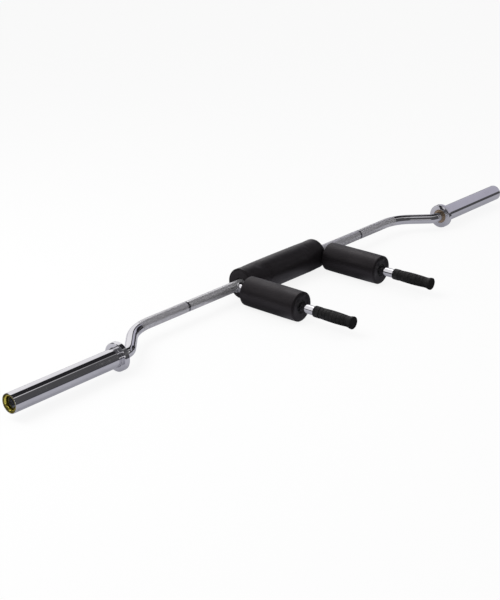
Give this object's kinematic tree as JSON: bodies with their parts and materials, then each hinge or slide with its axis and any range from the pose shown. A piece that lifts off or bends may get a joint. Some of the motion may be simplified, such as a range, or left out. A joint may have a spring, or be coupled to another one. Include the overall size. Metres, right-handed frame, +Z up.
{
  "type": "safety squat bar",
  "caption": "Chromed cranked barbell with a padded yoke: neck roll, forward arms with shoulder rolls and rubber grips, and turning sleeves for weight plates.",
  "frame": {"origin": "middle of the footprint, on the surface that the three padded rolls lie on", "axes": "+X along the bar towards its right end, -Y the way the arms and grips point, +Z up"},
  "size_m": [2.134, 0.4544, 0.0905],
  "materials": {
    "knurled_shaft": "satin",
    "chrome_tube": "polished",
    "chrome_sleeve": "polished",
    "bronze": "satin",
    "brass_ring": "gloss",
    "dark_steel": "satin",
    "black_vinyl": "satin",
    "foam": "matte",
    "grip_rubber": "matte"
  },
  "bodies": {
    "yoke": {"shaft": "knurled_shaft", "left_arm": "chrome_tube", "right_arm": "chrome_tube", "neck_roll_foam": "foam", "neck_roll_cover": "black_vinyl", "neck_roll_flap": "black_vinyl", "left_shoulder_roll_foam": "foam", "left_shoulder_roll_cover": "black_vinyl", "right_shoulder_roll_foam": "foam", "right_shoulder_roll_cover": "black_vinyl", "left_grip": "grip_rubber", "right_grip": "grip_rubber", "left_thrust_washer": "dark_steel", "left_circlip": "dark_steel", "right_thrust_washer": "dark_steel", "right_circlip": "dark_steel"},
    "left_sleeve": {"left_sleeve_tube": "chrome_sleeve", "left_collar": "chrome_sleeve", "left_inner_bush": "bronze", "left_outer_bush": "brass_ring"},
    "right_sleeve": {"right_sleeve_tube": "chrome_sleeve", "right_collar": "chrome_sleeve", "right_inner_bush": "bronze", "right_outer_bush": "brass_ring"}
  },
  "joints": [
    {"name": "left_sleeve_spin", "type": "hinge", "parent": "yoke", "child": "left_sleeve", "pos_m": [-0.722, 0.09375, 0.042], "axis": [1, 0, 0], "continuous": true},
    {"name": "right_sleeve_spin", "type": "hinge", "parent": "yoke", "child": "right_sleeve", "pos_m": [0.722, 0.09375, 0.042], "axis": [1, 0, 0], "continuous": true}
  ]
}
